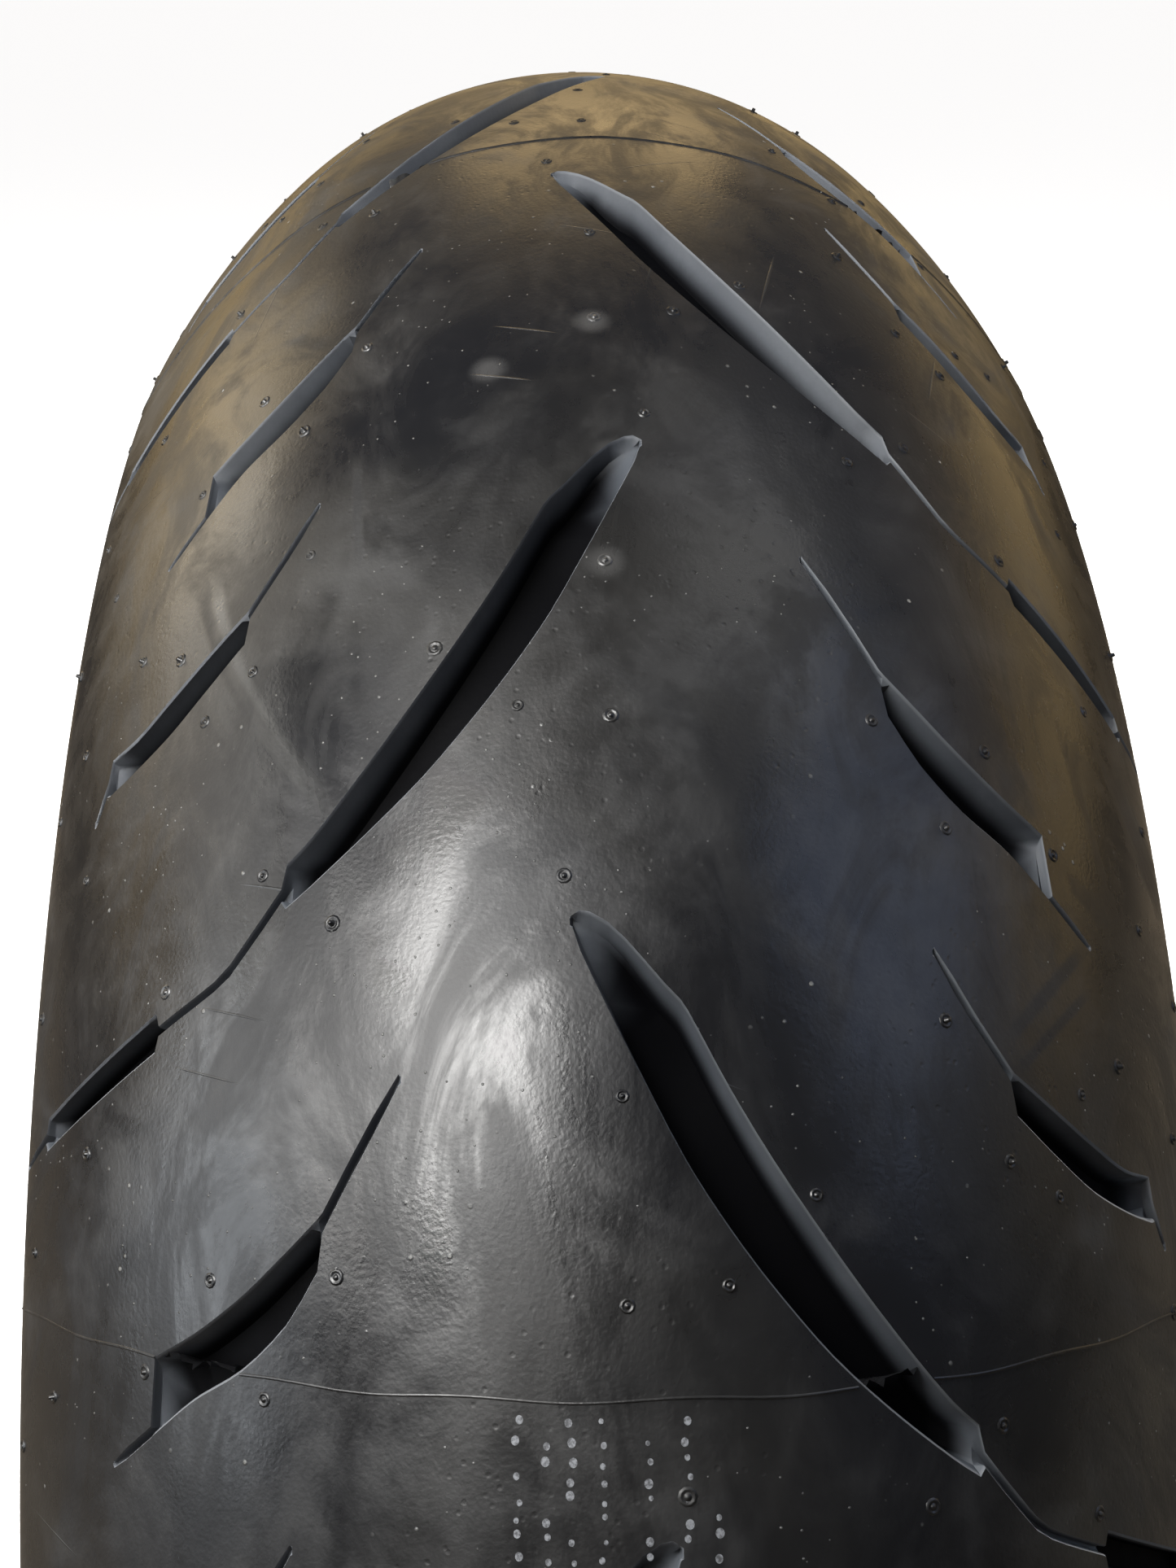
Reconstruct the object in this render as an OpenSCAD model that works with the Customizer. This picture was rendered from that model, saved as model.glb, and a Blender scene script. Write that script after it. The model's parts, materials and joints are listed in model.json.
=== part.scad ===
// Radial motorcycle tyre, 200/55-17 rear, shown as its separate built-up layers.
// The origin is the wheel centre, the spin axis is Y and +Z is up. Millimetres.
// Sections are drawn as [radius, distance across] and spun about the Y axis.

/* [Tyre size] */
// Outside diameter over the middle of the tread
overall_d = 652; // [646:1:658]
// Diameter of the cylindrical land that grips the rim's bead seat
bead_seat_d = 436.6; // [435.6:0.1:437.6]
// Distance between the rim flanges
rim_w = 152.4; // [150:0.2:155]

/* [Tread profile] */
// Radius of the arc across the middle of the tread
crown_r = 103; // [100:0.5:106]
// Angle that the middle arc reaches on each side
crown_angle = 40; // [38:0.5:42]
// Radius of the flatter arc on each shoulder
shoulder_r = 158; // [152:1:164]
// Angle of the surface where the shoulder arc ends
edge_angle = 57; // [56:0.5:58]
// Radius that rounds the tread edge over to the sidewall
edge_r = 14; // [13:0.5:15]
// Radius of the sidewall's bulge
side_r = 38; // [36:0.5:40]

/* [Tread pattern] */
// Number of repeats round each side
pitches = 12; // [10:1:13]
// Turns the whole pattern about the spin axis, in degrees
pattern_turn = 38; // [0:1:359]
// Depth of the thin sipes
sipe_d = 1.6; // [1:0.1:3]
// Width of the thin sipes
sipe_w = 1.5; // [1.2:0.1:2]

/* [Layers] */
// Thickness of the tread cap, which is also the groove depth
cap_t = 6.5; // [5.5:0.1:7]
// Thickness of the rubber base under the cap
base_t = 1.5; // [1:0.1:1.8]
// Thickness of the rubber-coated steel belt
belt_t = 1.6; // [1.5:0.1:1.8]
// Diameter of one belt cord
cord_d = 1; // [0.8:0.1:1.2]
// Spacing of the belt cords across the tyre
cord_pitch = 4; // [2.4:0.2:5]
// Thickness of one carcass ply
ply_t = 1; // [0.8:0.1:1.1]
// Thickness of the inner liner
liner_t = 1.2; // [1:0.1:1.5]
// Thickness of the fabric chafer
chafer_t = 0.8; // [0.6:0.1:0.9]

/* [Bead] */
// Radius of the round bead bundle
bead_r = 4.5; // [4.3:0.1:4.6]
// Diameter of one bead wire
bead_wire_d = 1.3; // [1.1:0.1:1.4]
// Radius that the rubber curls round the rim flange
flange_r = 9.5; // [9:0.5:10]
// Radius of the heel
heel_r = 6; // [5.5:0.5:6.5]

/* [Hidden] */
$fn = 128;

crown_top_r = overall_d / 2;
seat_r = bead_seat_d / 2;
flange_y = rim_w / 2;
carcass_depth = cap_t + base_t + belt_t;   // from the tread surface to the outer ply
plies_t = 2 * ply_t;
belt_angle = 50;          // the belt's edge
tread_end_angle = 75;     // the tread rubber ends part way round the edge arc
ply_shoulder_r = 16;      // the outer ply's bend inside the shoulder
filler_tip = [247.5, 84.5];
cord_sides = 6;           // cords and wires are six-sided in section
land_y = [60, flange_y - heel_r];

// Unit vectors of a surface that has turned by an angle from the top of the crown
function normal(a) = [cos(a), sin(a)];
function along(a) = [-sin(a), cos(a)];
function heading(v) = atan2(-v[0], v[1]);

// Centres of the profile's tangent arcs, from the crown to the rim flange
crown_c = [crown_top_r - crown_r, 0];
shoulder_c = crown_c + (crown_r - shoulder_r) * normal(crown_angle);
edge_c = shoulder_c + (shoulder_r - edge_r) * normal(edge_angle);
flange_c = [seat_r + 5, flange_y + flange_r];
side_c = touching_centre(edge_c, side_r - edge_r, flange_c, side_r + flange_r);
side_start = atan2(edge_c[1] - side_c[1], edge_c[0] - side_c[0]);
side_end = atan2(flange_c[1] - side_c[1], flange_c[0] - side_c[0]);

// The centre that lies r0 from p0 and r1 from p1, on the side nearer the middle of the tyre
function touching_centre(p0, r0, p1, r1) =
    let (d = norm(p1 - p0), u = (p1 - p0) / d, a = (r0 * r0 - r1 * r1 + d * d) / (2 * d))
    p0 + a * u - sqrt(r0 * r0 - a * a) * [u[1], -u[0]];

// The bead bundle, and the two straight ply runs that leave it and meet at the filler's tip
bead_c = [seat_r + 9, flange_y - 9.3];
tip_to_bead = bead_c - filler_tip;
tip_turn = asin(bead_r / norm(tip_to_bead));
inner_run_angle = heading(tip_to_bead) + tip_turn;
outer_run_angle = heading(tip_to_bead) - tip_turn;
inner_foot = bead_c - bead_r * normal(inner_run_angle);
outer_foot = bead_c + bead_r * normal(outer_run_angle);

// The ply leaves the shoulder arc where its own bend touches both the arc and the inner run
ply_arc_r = shoulder_r - carcass_depth;
ply_angle = inner_run_angle - acos(
    (-ply_shoulder_r - (shoulder_c - filler_tip) * normal(inner_run_angle))
    / (ply_arc_r - ply_shoulder_r));
ply_c = shoulder_c + (ply_arc_r - ply_shoulder_r) * normal(ply_angle);
run_start = ply_c + ply_shoulder_r * normal(inner_run_angle);

// Arc lengths from the centreline at which the profile's arcs change
function arc_length(r, a) = r * a * PI / 180;
crown_s = arc_length(crown_r, crown_angle);
shoulder_s = crown_s + arc_length(shoulder_r, edge_angle - crown_angle);

// Slope and place of the tread surface at a distance s from the centreline
function slope(s) =
    s < crown_s ? s / crown_r * 180 / PI
    : s < shoulder_s ? crown_angle + (s - crown_s) / shoulder_r * 180 / PI
    : edge_angle + (s - shoulder_s) / edge_r * 180 / PI;
function skin_point(s) =
    s < crown_s ? crown_c + crown_r * normal(slope(s))
    : s < shoulder_s ? shoulder_c + shoulder_r * normal(slope(s))
    : edge_c + edge_r * normal(slope(s));

// Grooves of one pitch on the right-hand side, as stations across the tread:
// [distance from the centreline, lower edge, upper edge], the edges in degrees round the tyre
long_groove = [[-6.3, 7.3, 7.6], [-5, 6.4, 7.6], [-2, 5.1, 7.1], [3, 3.4, 6.2], [9, 1.3, 5.1],
               [15, -0.4, 3.2], [21, -1.8, 1.4], [29, -3.4, -0.6], [38, -4.8, -2.7],
               [47, -6.1, -4.5], [51.5, -6.5, -5.3]];
upper_groove = [[44.5, 13.7, 14.8], [50, 12.4, 14.3], [58, 11.2, 13.1], [67, 10.3, 12],
                [74.5, 9.4, 11.3], [76, 9.1, 10.3]];
lower_groove = [[62.5, 2.7, 3.8], [71, 1.6, 3], [81, 0.5, 2.1], [91, -0.1, 1.3], [97, -0.3, 0.9]];
shoulder_slot = [[78, -9.9, -8.9], [96, -11.3, -10.1], [112, -12.4, -11.4]];
// Thin sipes, as [distance from the centreline, angle] along the middle of each
sipes = [[[32, 18.5], [38, 16.6], [46, 14.5]], [[76, 9.3], [86, 8.1]],
         [[49, 6.9], [55, 5.3], [63, 3.4]], [[97, 0.2], [101, -1]],
         [[51, -5.9], [63, -8.1], [79, -9.4]], [[111, -11.9], [121, -12.8]]];

// ---- section helpers ----

// Points along an arc, in n equal steps
function arc_points(c, r, a0, a1, n) = [for (i = [0:n]) c + r * normal(a0 + (a1 - a0) * i / n)];
function rest(v) = [for (i = [1:1:len(v) - 1]) v[i]];
function backwards(v) = [for (i = [len(v) - 1:-1:0]) v[i]];
function mirrored(v) = [for (p = v) [p[0], -p[1]]];

// A half line from the centreline to the right, carried over to the left as well
function both_halves(v) = concat(mirrored(backwards(rest(v))), v);

// Right-hand half lines at a depth under the tread surface. Neighbouring layers share their
// points, so that they meet without gaps.
function belt_line(depth) = concat(
    arc_points(crown_c, crown_r - depth, 0, crown_angle, 10),
    rest(arc_points(shoulder_c, shoulder_r - depth, crown_angle, belt_angle, 4)));
function edge_line(depth) = concat(
    arc_points(shoulder_c, shoulder_r - depth, belt_angle, edge_angle, 3),
    rest(arc_points(edge_c, edge_r - depth, edge_angle, tread_end_angle, 4)));
function tread_line(depth) = concat(belt_line(depth), rest(edge_line(depth)));

// The same for the carcass, at a depth t inside the outer ply's outer face: over the crown and
// round the shoulder, then under the bead and up to a point on the outer run
function carcass_line(t) = concat(
    belt_line(carcass_depth + t),
    rest(arc_points(shoulder_c, ply_arc_r - t, belt_angle, ply_angle, 2)),
    rest(arc_points(ply_c, ply_shoulder_r - t, ply_angle, inner_run_angle, 8)));
function wrap_line(t, top) = concat(
    arc_points(bead_c, bead_r + t, inner_run_angle + 180, outer_run_angle, 12),
    [top + t * normal(outer_run_angle)]);
function on_inner_run(p, t) = p - t * normal(inner_run_angle);

module band(a, b) polygon(concat(a, backwards(b)));

module spin() rotate([90, 0, 0]) rotate_extrude() children();

// The side given is 1 for +Y, which is the right, and -1 for -Y
module one_side(side) rotate([90, 0, 0]) rotate_extrude()
    mirror([0, side > 0 ? 1 : 0]) children();

chafer_foot = inner_foot + 9 * -along(inner_run_angle);
chafer_top = outer_foot + 0.55 * (filler_tip - outer_foot);

function chafer_line(t) = concat([on_inner_run(chafer_foot, t)], wrap_line(t, chafer_top));

// The half of the bead bundle's outline that faces the filler, and the half that the plies pass
bead_top = arc_points(bead_c, bead_r, outer_run_angle, inner_run_angle - 180, 12);
bead_bottom = arc_points(bead_c, bead_r, inner_run_angle + 180, outer_run_angle, 12);

// Everything that the outer rubber wraps: the plies, the bead, the filler and the air space
module inside_of_rubber() {
    chafer_out = plies_t + chafer_t;
    polygon(concat(
        carcass_line(0),
        [filler_tip, filler_tip + plies_t * normal(outer_run_angle),
         chafer_top + plies_t * normal(outer_run_angle)],
        backwards(chafer_line(chafer_out)),
        [on_inner_run(chafer_foot, 40), [chafer_foot[0], 0]]));
}

// ---- tread pattern ----

// A tread point in the flat plane that touches the tread at [s0, angle0]
function flat(s, angle, s0, angle0) =
    let (m = s < 0 ? -1 : 1, p = skin_point(abs(s)), q = skin_point(s0), turn = angle - angle0,
         out = [p[0] * cos(turn) - q[0], m * p[1] - q[1]])
    [out * along(slope(s0)), p[0] * sin(turn)];

// Stands a cutter on the tread at [s0, angle0], pointing outwards
module on_tread(s0, angle0) {
    p = skin_point(s0);
    rotate([0, -angle0, 0]) translate([p[0], p[1], 0]) rotate([0, 0, slope(s0)])
        rotate([90, 0, 90]) translate([0, 0, -cap_t - 8]) linear_extrude(height = cap_t + 20) children();
}

module groove_cutter(stations) {
    n = len(stations) - 1;
    s0 = (stations[0][0] + stations[n][0]) / 2;
    angle0 = (stations[0][1] + stations[n][2]) / 2;
    on_tread(s0, angle0) polygon(concat(
        [for (p = stations) flat(p[0], p[1], s0, angle0)],
        [for (i = [n:-1:0]) flat(stations[i][0], stations[i][2], s0, angle0)]));
}

// A thin sipe is a row of narrow bars with their ends on the given points
module sipe_cutter(path) {
    for (i = [0:len(path) - 2]) {
        s0 = (path[i][0] + path[i + 1][0]) / 2;
        angle0 = (path[i][1] + path[i + 1][1]) / 2;
        a = flat(path[i][0], path[i][1], s0, angle0);
        b = flat(path[i + 1][0], path[i + 1][1], s0, angle0);
        across = sipe_w / 2 * [a[1] - b[1], b[0] - a[0]] / norm(b - a);
        on_tread(s0, angle0) polygon([a - across, b - across, b + across, a + across]);
    }
}

// Places one side's cutters at every pitch. The left side is the mirrored right side,
// turned by half a pitch.
module every_pitch() {
    for (i = [0:pitches - 1]) {
        rotate([0, -pattern_turn - i * 360 / pitches, 0]) children();
        rotate([0, -pattern_turn - (i + 0.5) * 360 / pitches, 0]) mirror([0, 1, 0]) children();
    }
}

module sipe_cuts() {
    intersection() {
        spin() band(both_halves(tread_line(-3)), both_halves(tread_line(sipe_d)));
        every_pitch() for (path = sipes) sipe_cutter(path);
    }
}

// ---- sub-parts ----

module tread_cap() color([0.07, 0.07, 0.075]) difference() {
    spin() band(both_halves(tread_line(0)), both_halves(tread_line(cap_t)));
    every_pitch() {
        groove_cutter(long_groove);
        groove_cutter(upper_groove);
        groove_cutter(lower_groove);
        groove_cutter(shoulder_slot);
    }
    sipe_cuts();
}

base_depth = cap_t + base_t;

module tread_base() color([0.1, 0.1, 0.1]) spin()
    band(both_halves(tread_line(cap_t)), both_halves(tread_line(base_depth)));

belt_mid = base_depth + belt_t / 2;
belt_half_s = arc_length(crown_r - belt_mid, crown_angle)
    + arc_length(shoulder_r - belt_mid, belt_angle - crown_angle);
cords_each_side = floor((belt_half_s - cord_d) / cord_pitch);

// The belt's middle line, at a distance s along it
function belt_point(s) =
    let (r0 = crown_r - belt_mid, s0 = arc_length(r0, crown_angle), r1 = shoulder_r - belt_mid)
    s < s0 ? crown_c + r0 * normal(s / r0 * 180 / PI)
    : shoulder_c + r1 * normal(crown_angle + (s - s0) / r1 * 180 / PI);

module cord_section() {
    translate(belt_point(0)) circle(d = cord_d, $fn = cord_sides);
    for (i = [1:cords_each_side], side = [-1, 1]) {
        p = belt_point(i * cord_pitch);
        translate([p[0], side * p[1]]) circle(d = cord_d, $fn = cord_sides);
    }
}

module belt_rubber() color([0.16, 0.13, 0.11]) spin() difference() {
    band(both_halves(belt_line(base_depth)), both_halves(belt_line(carcass_depth)));
    cord_section();
}

module belt_cords() color([0.75, 0.65, 0.4]) spin() cord_section();

module belt_edge_cushion(side) color([0.12, 0.12, 0.13]) one_side(side) difference() {
    polygon(concat(edge_line(base_depth), [edge_c, shoulder_c + (shoulder_r - 14) * normal(belt_angle)]));
    inside_of_rubber();
}

module ply(number, shade) color(shade) spin() {
    inner = [for (t = [number - 1, number] * ply_t)
        both_halves(concat(carcass_line(t), wrap_line(t, filler_tip)))];
    band(inner[0], inner[1]);
}

module outer_ply() ply(1, [0.45, 0.38, 0.28]);
module inner_ply() ply(2, [0.52, 0.44, 0.33]);

module inner_liner() color([0.11, 0.11, 0.12]) spin() {
    faces = [for (t = [plies_t, plies_t + liner_t])
        both_halves(concat(carcass_line(t), [on_inner_run(chafer_foot, t)]))];
    band(faces[0], faces[1]);
}

module sidewall(side) color([0.06, 0.06, 0.065]) one_side(side) difference() {
    polygon(concat(
        arc_points(edge_c, edge_r, tread_end_angle, side_start, 6),
        rest(arc_points(side_c, side_r, side_start, side_end, 18)),
        [side_c + (side_r - 18) * normal(side_end), side_c + (side_r - 18) * normal(side_start), edge_c]));
    inside_of_rubber();
}

// From the toe, across the cylindrical land, round the heel and up to the rim flange's top
module bead_block() {
    toe_y = land_y[0] - 2.4;
    polygon(concat(
        [[seat_r + 5, toe_y], [seat_r + 1, toe_y], [seat_r, land_y[0]]],
        arc_points([seat_r + heel_r, land_y[1]], heel_r, 180, 90, 9),
        arc_points(flange_c, flange_r, -90, side_end - 180, 9),
        [side_c + (side_r - 8) * normal(side_end), on_inner_run(bead_c, bead_r + ply_t),
         bead_c + (bead_r + plies_t + chafer_t) * normal(285)]));
}

module rim_cushion(side) color([0.05, 0.05, 0.055]) one_side(side) difference() {
    bead_block();
    inside_of_rubber();
}

module chafer(side) color([0.6, 0.55, 0.42]) one_side(side)
    band(chafer_line(plies_t), chafer_line(plies_t + chafer_t));

module bead_filler(side) color([0.14, 0.12, 0.12]) one_side(side)
    polygon(concat([filler_tip], bead_top));

// Nineteen wires packed in a hexagon
module wire_section() {
    gap = bead_wire_d + 0.2;
    for (i = [-2:2], j = [-2:2]) if (abs(i + j) <= 2)
        translate(bead_c + gap * [i + j / 2, j * sqrt(3) / 2]) circle(d = bead_wire_d, $fn = cord_sides);
}

module bead_rubber(side) color([0.1, 0.1, 0.1]) one_side(side) difference() {
    polygon(concat(bead_bottom, [for (i = [1:len(bead_top) - 2]) bead_top[i]]));
    wire_section();
}

module bead_wires(side) color([0.72, 0.6, 0.38]) one_side(side) wire_section();

tread_cap();
tread_base();
belt_rubber();
belt_cords();
belt_edge_cushion(-1);  // belt_edge_cushion_left
belt_edge_cushion(1);  // belt_edge_cushion_right
outer_ply();
inner_ply();
inner_liner();
sidewall(-1);  // sidewall_left
sidewall(1);  // sidewall_right
rim_cushion(-1);  // rim_cushion_left
rim_cushion(1);  // rim_cushion_right
chafer(-1);  // chafer_left
chafer(1);  // chafer_right
bead_filler(-1);  // bead_filler_left
bead_filler(1);  // bead_filler_right
bead_rubber(-1);  // bead_rubber_left
bead_rubber(1);  // bead_rubber_right
bead_wires(-1);  // bead_wires_left
bead_wires(1);  // bead_wires_right
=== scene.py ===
"""Looks of a bare rear motorcycle tyre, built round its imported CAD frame.

Places are in metres from the wheel centre. Sections and depths are in millimetres until they are placed.
The tread is drawn in its own coordinates: s is the distance in millimetres from the centreline along
the rounded profile, positive on the right (+Y), and angles are degrees round the spin axis.
"""

import json
import math
import random
from functools import reduce

import bpy
import numpy as np
from mathutils import Matrix, Vector
from mathutils.geometry import delaunay_2d_cdt


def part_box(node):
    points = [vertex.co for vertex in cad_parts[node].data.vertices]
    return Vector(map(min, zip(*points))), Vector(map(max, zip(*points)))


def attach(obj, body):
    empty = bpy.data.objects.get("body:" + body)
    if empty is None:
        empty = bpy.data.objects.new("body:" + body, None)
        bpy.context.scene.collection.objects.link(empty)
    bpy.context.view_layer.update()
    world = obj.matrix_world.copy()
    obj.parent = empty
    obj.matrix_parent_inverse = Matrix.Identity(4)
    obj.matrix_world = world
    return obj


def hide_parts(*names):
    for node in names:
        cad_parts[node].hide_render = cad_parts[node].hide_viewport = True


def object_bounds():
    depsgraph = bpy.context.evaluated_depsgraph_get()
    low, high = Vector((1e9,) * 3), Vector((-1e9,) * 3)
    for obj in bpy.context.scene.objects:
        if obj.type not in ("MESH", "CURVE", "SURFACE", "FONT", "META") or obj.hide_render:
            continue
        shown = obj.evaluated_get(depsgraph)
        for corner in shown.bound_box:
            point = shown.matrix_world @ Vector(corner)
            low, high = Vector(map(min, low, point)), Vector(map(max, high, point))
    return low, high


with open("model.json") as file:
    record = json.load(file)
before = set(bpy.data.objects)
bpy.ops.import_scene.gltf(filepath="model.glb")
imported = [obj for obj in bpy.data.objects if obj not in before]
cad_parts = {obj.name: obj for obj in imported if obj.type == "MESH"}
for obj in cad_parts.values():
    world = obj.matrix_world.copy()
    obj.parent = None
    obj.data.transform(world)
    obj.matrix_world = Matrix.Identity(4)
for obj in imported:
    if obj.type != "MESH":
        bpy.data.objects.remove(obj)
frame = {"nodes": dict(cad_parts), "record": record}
cad_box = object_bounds()

MM = 0.001
RNG = random.Random(7)

# ---- tyre section, the CAD part's driving sizes in millimetres ----

TOP_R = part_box("tread_cap")[1].z / MM
CROWN_R, CROWN_ANGLE = 103.0, 40.0
SHOULDER_R, EDGE_ANGLE = 158.0, 57.0
EDGE_R, TREAD_END_ANGLE = 14.0, 75.0
SIDE_R, FLANGE_R = 38.0, 9.5
SEAT_R, HALF_RIM = 218.3, 76.2
CAP_T = 6.5
PITCHES = 12
PATTERN_TURN = 38.0
MOULD_SEGMENTS = 8
MOULD_LINE_ANGLE = -4.2


def unit(angle):
    """Outward direction (radius, across) of a surface that has turned by an angle from the crown."""
    return np.array([np.cos(np.radians(angle)), np.sin(np.radians(angle))])


CROWN_C = np.array([TOP_R - CROWN_R, 0.0])
SHOULDER_C = CROWN_C + (CROWN_R - SHOULDER_R) * unit(CROWN_ANGLE)
EDGE_C = SHOULDER_C + (SHOULDER_R - EDGE_R) * unit(EDGE_ANGLE)
FLANGE_C = np.array([SEAT_R + 5.0, HALF_RIM + FLANGE_R])
CROWN_S = CROWN_R * math.radians(CROWN_ANGLE)
SHOULDER_S = CROWN_S + SHOULDER_R * math.radians(EDGE_ANGLE - CROWN_ANGLE)
TREAD_END_S = SHOULDER_S + EDGE_R * math.radians(TREAD_END_ANGLE - EDGE_ANGLE)


def touching_centre(p0, r0, p1, r1):
    """The point r0 from p0 and r1 from p1, on the side nearer the middle of the tyre."""
    d = np.linalg.norm(p1 - p0)
    u = (p1 - p0) / d
    a = (r0 * r0 - r1 * r1 + d * d) / (2 * d)
    return p0 + a * u - math.sqrt(r0 * r0 - a * a) * np.array([u[1], -u[0]])


SIDE_C = touching_centre(EDGE_C, SIDE_R - EDGE_R, FLANGE_C, SIDE_R + FLANGE_R)
SIDE_START = math.degrees(math.atan2(*(EDGE_C - SIDE_C)[::-1]))
SIDE_END = math.degrees(math.atan2(*(FLANGE_C - SIDE_C)[::-1]))


def profile(s):
    """(radius, across, slope in degrees) of the tread surface at distances s from the centreline."""
    s = np.asarray(s, float)
    a = np.abs(s)
    slope = np.where(
        a < CROWN_S,
        np.degrees(a / CROWN_R),
        np.where(
            a < SHOULDER_S,
            CROWN_ANGLE + np.degrees((a - CROWN_S) / SHOULDER_R),
            EDGE_ANGLE + np.degrees((a - SHOULDER_S) / EDGE_R),
        ),
    )
    ca, sa = np.cos(np.radians(slope)), np.sin(np.radians(slope))
    pick = [a < CROWN_S, a < SHOULDER_S]

    def on_arcs(axis, turned):
        """One coordinate of the point, on the arc that s falls on."""
        crown = CROWN_C[axis] + CROWN_R * turned
        shoulder = SHOULDER_C[axis] + SHOULDER_R * turned
        return np.select(pick, [crown, shoulder], EDGE_C[axis] + EDGE_R * turned)

    radius, across = on_arcs(0, ca), on_arcs(1, sa)
    sign = np.where(s < 0, -1.0, 1.0)
    return radius, across * sign, slope * sign


def on_tyre(s, angle, depth=0.0):
    """Points in metres, depth millimetres under the tread surface, and the surface normals there."""
    radius, across, slope = profile(s)
    nr, ny = np.cos(np.radians(slope)), np.sin(np.radians(slope))
    r, y = radius - depth * nr, across - depth * ny
    t = np.radians(np.asarray(angle, float) + PATTERN_TURN)
    points = np.stack([r * np.cos(t), y, r * np.sin(t)], -1) * MM
    normals = np.stack([nr * np.cos(t), ny, nr * np.sin(t)], -1)
    return points, normals


# ---- tread pattern of one pitch on the right-hand side ----
# A wide groove has stations (s, lower edge, upper edge) with the edges in degrees.
# A sipe has points (s, angle) along its middle.

LONG_LOW = [
    (-6.4, 7.15), (-5.6, 6.65), (-2, 5.2), (3, 3.3), (9, 1.2), (15, -0.45), (21, -1.85), (29, -3.45),
    (38, -4.85), (47, -6.05), (51.4, -6.55),
]
LONG_HIGH = [
    (-6.4, 7.5), (-5.4, 7.62), (8.6, 5.3), (9.6, 5.02), (15, 3.15), (21, 1.35), (29, -0.72), (38, -2.8),
    (47, -4.6), (51.4, -5.25),
]
UPPER_LOW = [(44.6, 13.75), (50, 12.35), (58, 11.15), (67, 10.3), (76, 9.2)]
UPPER_HIGH = [(44.6, 15.1), (50, 14.25), (58, 13.1), (67, 12.1), (76, 11.35)]
LOWER_LOW = [(62.8, 2.6), (71, 1.55), (81, 0.5), (91, -0.1), (98, -0.35)]
LOWER_HIGH = [(62.8, 3.8), (71, 2.95), (81, 2.0), (91, 1.25), (98, 1.1)]
SLOT_LOW = [(78.5, -10.0), (96, -11.3), (112, -12.45)]
SLOT_HIGH = [(78.5, -8.8), (96, -10.1), (112, -11.3)]
LONG_TO_SLOT = [(52.3, -6.15), (58, -7.3), (64, -8.3), (77.7, -9.35)]
SLOT_TO_EDGE = [(112.8, -12.0), (121.5, -12.9)]
TO_UPPER = [(32, 18.5), (38, 16.75), (43.8, 15.0)]
FROM_UPPER = [(76.8, 9.25), (86, 8.1)]
TO_LOWER = [(49, 6.9), (55, 5.3), (62.0, 3.75)]
FROM_LOWER = [(98.8, 0.0), (102, -1.1)]
SIPE_W, SIPE_D, SIPE_WALL = 1.45, 1.7, 0.5
LIP = 0.4
# A floor this deep gets the full painted shade of the groove material.
DARK_DEPTH = 4.4  # a floor this deep is fully shut in by its walls
BRIDGED_DEPTH = 2.5  # mould flash bridges a groove that is deeper than this

# Vent nubs of one pitch and side, as (s, angle)
NUBS = [
    (0, -2), (0, 3), (-7.5, 8.6), (27, 0.6), (14, -1.5), (56, -5.4), (43, -7.1), (41.5, 13.6), (64, 13.5),
    (53.5, 10.6), (78.5, 10.8), (76.5, -8.2), (97, -12.7), (50, 5.0), (60.5, 1.4), (71, 0.4), (79, 3.4),
    (91, 4.5), (104, -3.2), (110, 2.5), (106, 9.5), (119, -7.5), (119.5, 0.5), (116, 14), (119.5, 7.5),
]


def smooth_edge(points):
    """A monotone cubic through (s, value) points, as a function of s."""
    x, y = np.array(points, float).T
    h, d = np.diff(x), np.diff(y) / np.diff(x)
    m = np.empty(len(x))
    m[0], m[-1] = d[0], d[-1]
    for i in range(1, len(x) - 1):
        same = d[i - 1] * d[i] > 0
        m[i] = (h[i - 1] + h[i]) / (h[i - 1] / d[i - 1] + h[i] / d[i]) if same else 0.0

    def value(s):
        i = int(np.clip(np.searchsorted(x, s) - 1, 0, len(h) - 1))
        t = (s - x[i]) / h[i]
        return (
            (2 * t**3 - 3 * t**2 + 1) * y[i] + (t**3 - 2 * t**2 + t) * h[i] * m[i]
            + (3 * t**2 - 2 * t**3) * y[i + 1] + (t**3 - t**2) * h[i] * m[i + 1]
        )

    return value


def degree_mm(s):
    """Length in millimetres of one degree round the tyre at s."""
    return float(profile(s)[0]) * math.pi / 180


def wide_part(low, high, depth, walls, ramp_in, ramp_out, step=2.5):
    """Stations (s, low, high, depth, lower wall, upper wall) of a wide groove. A ramp is the length
    over which the floor comes up to the tread at that end."""
    low_at, high_at = smooth_edge(low), smooth_edge(high)
    s0, s1 = low[0][0], low[-1][0]
    places = set(np.linspace(s0, s1, max(3, int((s1 - s0) / step) + 1)).tolist())
    places |= {p[0] for p in high if s0 < p[0] < s1} | {min(s0 + ramp_in, s1), max(s1 - ramp_out, s0)}
    rows = []
    for s in sorted(places):
        if rows and s - rows[-1][0] < 0.3:
            continue
        into, left = (s - s0) / max(ramp_in, 0.01), (s1 - s) / max(ramp_out, 0.01)
        d = max(SIPE_D * 0.6, depth * min(1.0, 0.12 + into, 0.3 + left))
        rows.append((s, low_at(s), high_at(s), d, walls[0], walls[1]))
    return rows


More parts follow.
